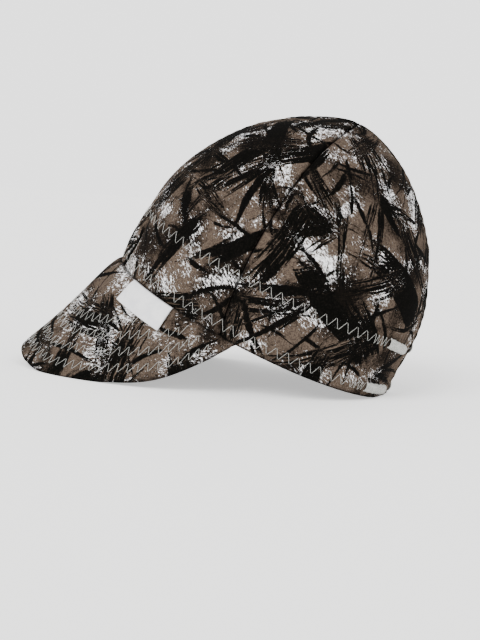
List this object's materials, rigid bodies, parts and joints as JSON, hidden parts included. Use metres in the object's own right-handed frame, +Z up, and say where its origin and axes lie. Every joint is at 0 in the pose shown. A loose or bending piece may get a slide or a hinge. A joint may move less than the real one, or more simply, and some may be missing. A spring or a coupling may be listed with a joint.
{
  "type": "welding cap",
  "caption": "Soft cloth welding cap: deep crown of sewn panels, sweatband inside the rim, short quilted brim, plain label in the brim seam, bar tacks at the back.",
  "frame": {"origin": "on the table, under the middle of the cap's box, with the cap resting as it lies by itself", "axes": "+Z up from the table, -X towards the brim, -Y towards the wearer's left; the XZ plane is the cap's plane of symmetry apart from its folds, its label and its back seam"},
  "size_m": [0.2724, 0.1742, 0.1806],
  "materials": {
    "printed_cotton": "matt plain-woven cotton, brown, black and white camouflage print",
    "band_cotton": "matt black cotton",
    "brim_cotton": "matt quilted cotton, brown, black and white camouflage print",
    "label_weave": "white satin-woven ribbon",
    "white_thread": "pale grey polyester thread with a soft sheen"
  },
  "bodies": {
    "root": {"crown_front_left": "printed_cotton", "crown_back_left": "printed_cotton", "crown_back_right": "printed_cotton", "crown_front_right": "printed_cotton", "sweatband": "band_cotton", "brim": "brim_cotton", "label": "label_weave", "bar_tack_left_lower": "white_thread", "bar_tack_left_upper": "white_thread", "bar_tack_right_lower": "white_thread", "bar_tack_right_upper": "white_thread"}
  },
  "joints": []
}
